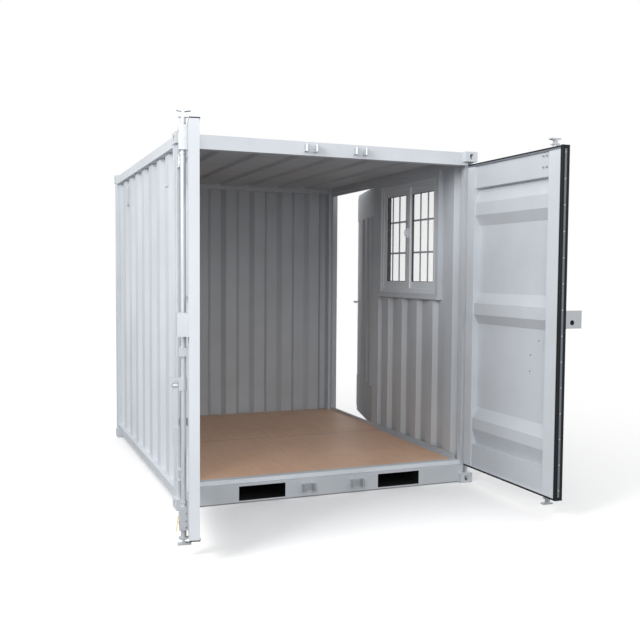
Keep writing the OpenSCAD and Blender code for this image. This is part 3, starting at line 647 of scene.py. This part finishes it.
def windowGrille():
    s = grilleSettings
    low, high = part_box("window_surround")
    glassLow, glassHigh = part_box("window_glass")
    span = glassHigh.z - glassLow.z
    bottom, top = low.z + s["ends"], high.z - s["ends"]
    ys = np.linspace(low.y + s["edge"], high.y - s["edge"], s["uprights"])
    upright = roundParts([s["endRadius"], s["radius"], s["radius"], s["endRadius"]],
                         [bottom, bottom + s["chamfer"], top - s["chamfer"], top], 16)
    x = high.x + s["flat"] + s["radius"] * s["seat"]
    uprights = repeatParts(upright, [shift(x, y, 0) for y in ys])
    heights = ([low.z + s["outerRungs"]] + [glassLow.z + share * span for share in s["rungShares"]]
               + [high.z - s["outerRungs"]])
    rungs = [boxParts((high.x - sink / 2, low.y + s["rungEnds"], z - s["rungHalf"]),
                      (high.x + s["flat"], high.y - s["rungEnds"], z + s["rungHalf"])) for z in heights]
    makePiece("window bars", *joinParts([uprights] + rungs), "container", "gear_steel", barSteel)


# Black seals round each pane, a black strip of painted shade on the far reveal outside it, and the latch between
# the sashes
paneSettings = {"seal": 0.004, "proud": 0.0015, "revealShade": 0.003, "latch": (0.018, 0.022, 0.075),
                "latchUp": 0.04, "latchBack": 0.0055, "knob": (0.012, 0.006, 0.02), "soft": 0.003}


def windowTrim():
    p = paneSettings
    low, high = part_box("window_glass")
    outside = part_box("window_frame")[1].x
    points = nodePoints("window_glass")
    middle = (low.x + high.x) / 2
    panes = [points[points[:, 0] < middle], points[points[:, 0] > middle]]
    seals = []
    w = p["seal"]
    for corners in panes:
        a, b = corners.min(0), corners.max(0)
        for y0, y1, z0, z1 in ((a[1], b[1], a[2], a[2] + w), (a[1], b[1], b[2] - w, b[2]),
                               (a[1], a[1] + w, a[2], b[2]), (b[1] - w, b[1], a[2], b[2])):
            seals.append(boxParts((a[0] - p["proud"], y0, z0), (b[0] + p["proud"], y1, z1)))
        # Painted shade: a black strip over the far reveal, which lies in shadow
        seals.append(boxParts((b[0] + sink, b[1] - p["revealShade"], a[2]), (outside, b[1], b[2])))
    makePiece("glass seals and reveal shade", *joinParts(seals), "container", "seal_rubber", rubber)
    inner, outer = panes
    y = (inner[:, 1].min() + outer[:, 1].max()) / 2
    z = (low.z + high.z) / 2 + p["latchUp"]
    depth, wide, tall = p["latch"]
    knobOut, knobWide, knobTall = p["knob"]
    face = inner[:, 0].min() - p["latchBack"]
    body = boxParts((face - depth, y - wide / 2, z - tall / 2), (face + sink, y + wide / 2, z + tall / 2))
    knob = boxParts((face - depth - knobOut, y - knobWide, z - knobTall),
                    (face - depth + sink, y + knobWide, z + knobTall))
    latch = makePiece("window latch", *joinParts([body, knob]), "container", "window_pvc", whitePvc)
    softenEdges(latch, p["soft"])


ledgeSettings = {"out": 0.012, "height": 0.016, "soft": 0.002}


# A folded ledge along the bottom of the surround, on the inner side
def windowLedge():
    s = ledgeSettings
    low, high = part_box("window_surround")
    ledge = boxParts((low.x - s["out"], low.y, low.z), (low.x + sink, high.y, low.z + s["height"]))
    softenEdges(makePiece("window ledge", *ledge, "container", "frame_paint", framePaint), s["soft"])


windowGrille()
windowTrim()
windowLedge()
print("window fitted")


floorSettings = {"sheets": 2, "gap": 0.0022, "gapEnds": 0.035, "gapProud": 0.0003, "screwStep": 0.2,
                 "screwRadius": 0.0055, "screwProud": 0.0004, "firstScrew": 0.1, "lastScrew": 0.05}


# Thin dark joints between the plywood sheets and rows of screws over the floor's bearers
def floorDetails():
    f = floorSettings
    low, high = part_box("plywood_floor")
    top = high.z
    bearers = nodePoints("cross_members")
    rows = np.unique(np.round(bearers[:, 1], 4)).reshape(-1, 2).mean(1)
    xs = np.arange(low.x + f["firstScrew"], high.x - f["lastScrew"], f["screwStep"])
    r = f["screwRadius"]
    head = roundParts([r, 0.8 * r], [-sink, f["screwProud"]], 12)
    heads = repeatParts(head, [shift(x, y, top) for y in rows for x in xs])
    makePiece("floor screws", *heads, "container", "gear_steel", screwSteel)
    half = f["gap"] / 2
    ys = low.y + (high.y - low.y) / f["sheets"] * np.arange(1, f["sheets"])
    joins = [boxParts((low.x + f["gapEnds"], y - half, top - sink),
                      (high.x - f["gapEnds"], y + half, top + f["gapProud"])) for y in ys]
    makePiece("plywood joint", *joinParts(joins), "container", "plywood", darkGap)


# Beads of weld where posts meet sills, header and castings, the last behind the post's lip
beadSettings = {"radius": 0.003, "from": 0.034, "to": 0.074}


def frameWelds():
    b = beadSettings
    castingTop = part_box("bottom_corner_castings")[1].z
    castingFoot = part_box("top_corner_castings")[0].z
    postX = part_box("corner_posts")[1].x
    sill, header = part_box("front_sill"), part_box("front_header")
    front = sill[0].y
    lines = []
    for x in (sill[0].x, sill[1].x):
        lines.append([(x, front, castingTop), (x, front, sill[1].z)])
        lines.append([(x, front, header[0].z), (x, front, castingFoot)])
    for z in (castingTop, castingFoot):
        for x in (-postX, postX):
            lines.append([(x, front + b["from"], z), (x, front + b["to"], z)])
    beads = joinParts([tubeParts(line, b["radius"], 8) for line in lines])
    makePiece("frame welds", *beads, "container", "frame_paint", framePaint, smooth=True)


shadePlateSettings = {"thick": 0.0012, "setBack": 0.0005, "pocketWall": 0.005}


# Painted shade: black plates lining the fork openings of the front and rear sills, from the sill's face to the
# pocket
def pocketShadePlates():
    t, wall = shadePlateSettings["thick"], shadePlateSettings["pocketWall"]
    low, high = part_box("fork_pockets")
    points = nodePoints("fork_pockets")
    right = points[points[:, 0] > 0]
    x0, x1 = right[:, 0].min() + wall, right[:, 0].max() - wall
    z0, z1 = low.z + wall, high.z - wall
    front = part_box("front_sill")[0].y + shadePlateSettings["setBack"]
    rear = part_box("rear_sill")[1].y - shadePlateSettings["setBack"]
    plates = []
    for y0, y1 in ((front, low.y), (high.y, rear)):
        for a, b in ((-x1, -x0), (x0, x1)):
            plates += [boxParts((a, y0, z0), (a + t, y1, z1)), boxParts((b - t, y0, z0), (b, y1, z1)),
                       boxParts((a, y0, z0), (b, y1, z0 + t)), boxParts((a, y0, z1 - t), (b, y1, z1))]
    makePiece("fork pocket shade plates", *joinParts(plates), "container", "pocket_steel", pocketShadePaint)


floorDetails()
frameWelds()
pocketShadePlates()
print("floor and frame detailed")


sideDoor = leafPlace("side_door_hinge", False)
# Pressed inner sheet: plates at the top and bottom, upright ribs between them
panelSettings = {"border": 0.03, "foot": 0.02, "plateThick": 0.009, "topPlate": 0.22, "bottomPlate": 0.3,
                 "ribs": 4, "ribFoot": 0.15, "ribTop": 0.1, "ribDepth": 0.024, "ribLap": 0.002,
                 "leverRoom": 0.02, "soft": 0.0015}
# Plates round the lever on both faces: size, thickness and the share below the lever
coverSettings = {"width": 0.045, "height": 0.24, "thick": 0.003, "below": 0.62, "soft": 0.001}


# The side door's own frame turns about its pin, with the leaf along +Y and inwards along -X
def sideDoorTrim():
    s, c = panelSettings, coverSettings
    low, high = localBox("side_door_leaf", sideDoor)
    lever = jointSpot("side_lever_turn", sideDoor)
    inner, outer = low[0], high[0]
    y0, y1 = low[1] + s["border"], high[1] - s["border"]
    z0, z1 = low[2] + s["border"] + s["foot"], high[2] - s["border"]
    plates = [boxParts((inner - s["plateThick"], y0, a), (inner + sink, y1, b))
              for a, b in ((z0, z0 + s["bottomPlate"]), (z1 - s["topPlate"], z1))]
    # A rib's section, wide at its foot on the leaf, running from plate to plate
    half, crown = s["ribFoot"] / 2, s["ribTop"] / 2
    section = np.array([[inner + sink, -half], [inner + sink, half],
                        [inner - s["ribDepth"], crown], [inner - s["ribDepth"], -crown]])[::-1]
    rib = prismParts(section, z0 + s["bottomPlate"] - s["ribLap"], z1 - s["topPlate"] + s["ribLap"])
    middles = y0 + (np.arange(s["ribs"]) + 0.5) * (y1 - y0) / s["ribs"]
    middles = middles[np.abs(middles - lever.y) > half + s["leverRoom"]]
    ribs = repeatParts(rib, [shift(0, y, 0) for y in middles])
    panel = makePiece("side door inner sheet", *placeParts(joinParts(plates + [ribs]), sideDoor),
                      "side_door", "wall_paint", wallPaint)
    softenEdges(panel, s["soft"])
    wide, tall, thick = c["width"], c["height"], c["thick"]
    covers = [boxParts((x0, lever.y - wide / 2, lever.z - tall * c["below"]),
                       (x1, lever.y + wide / 2, lever.z + tall * (1 - c["below"])))
              for x0, x1 in ((inner - thick, inner + sink), (outer - sink, outer + thick))]
    cover = makePiece("side door lock plates", *placeParts(joinParts(covers), sideDoor),
                      "side_door", "gear_steel", zinc)
    softenEdges(cover, c["soft"])


sideDoorTrim()
print("side door dressed")


# Angles in degrees, lens and sensor in millimetres, the rest in metres; the lights' power in watts
cameraSettings = {"place": (-2.0799, -6.2041, 1.4339), "yaw": 21.72, "pitch": 3.18, "roll": 0.4,
                  "lens": 47.28, "sensor": 36.0}
lightSettings = {"sky": 1.0, "key": 98.0, "keyPlace": (-1.8, -7.5, 3.0), "keySize": 4.0,
                 "side": 435.0, "sidePlace": (-7.0, -4.6, 4.6), "sideSize": 3.5, "floorShade": 0.22,
                 "aim": (0, 0, 1.1)}
studioSettings = {"half": 40.0, "below": 0.0005}


def aimedAt(position, target):
    return (Vector(target) - Vector(position)).to_track_quat("-Z", "Y").to_euler()


def addCamera():
    s = cameraSettings
    camera = bpy.data.objects.new("camera", bpy.data.cameras.new("camera"))
    camera.data.lens = s["lens"]
    camera.data.sensor_width = s["sensor"]
    turn = Matrix.Rotation(-math.radians(s["yaw"]), 4, "Z")
    lean = Matrix.Rotation(math.radians(90 - s["pitch"]), 4, "X")
    roll = Matrix.Rotation(math.radians(s["roll"]), 4, "Z")
    camera.matrix_world = Matrix.Translation(s["place"]) @ turn @ lean @ roll
    bpy.context.scene.collection.objects.link(camera)
    bpy.context.scene.camera = camera


def addSoftbox(name, power, position, size):
    lamp = bpy.data.lights.new(name, "AREA")
    lamp.energy = power
    lamp.size = size
    lampObject = bpy.data.objects.new(name, lamp)
    lampObject.location = position
    lampObject.rotation_euler = aimedAt(position, lightSettings["aim"])
    bpy.context.scene.collection.objects.link(lampObject)


# The studio floor looks white and gives back little light, so that the room stays shaded
def studioWhite():
    material = plainFinish("studio floor white", "#ffffff", 1.0, 0.0)
    tree = material.node_tree
    shade = (lightSettings["floorShade"],) * 3 + (1.0,)
    dim = addNode(tree, "ShaderNodeBsdfDiffuse", Color=shade)
    ray = addNode(tree, "ShaderNodeLightPath")
    white = tree.nodes["Principled BSDF"]
    mix = addNode(tree, "ShaderNodeMixShader",
                  {0: ray.outputs["Is Camera Ray"], 1: dim.outputs[0], 2: white.outputs[0]})
    feed(tree, tree.nodes["Material Output"], {"Surface": mix.outputs[0]})
    return material


def addStudio():
    half = studioSettings["half"]
    mesh = bpy.data.meshes.new("studio floor")
    corners = [(-half, -half, 0), (half, -half, 0), (half, half, 0), (-half, half, 0)]
    mesh.from_pydata(corners, [], [(0, 1, 2, 3)])
    mesh.materials.append(studioWhite())
    floor = bpy.data.objects.new("studio_floor", mesh)
    floor.location = (0, 0, -studioSettings["below"])
    bpy.context.scene.collection.objects.link(floor)
    world = bpy.data.worlds.new("studio sky")
    world.use_nodes = True
    sky = world.node_tree.nodes["Background"]
    sky.inputs["Color"].default_value = (1.0, 1.0, 1.0, 1.0)
    sky.inputs["Strength"].default_value = lightSettings["sky"]
    bpy.context.scene.world = world
    bpy.context.scene.view_settings.view_transform = "Standard"
    s = lightSettings
    addSoftbox("key softbox", s["key"], s["keyPlace"], s["keySize"])
    addSoftbox("side softbox", s["side"], s["sidePlace"], s["sideSize"])


addCamera()
addStudio()
print("studio ready")
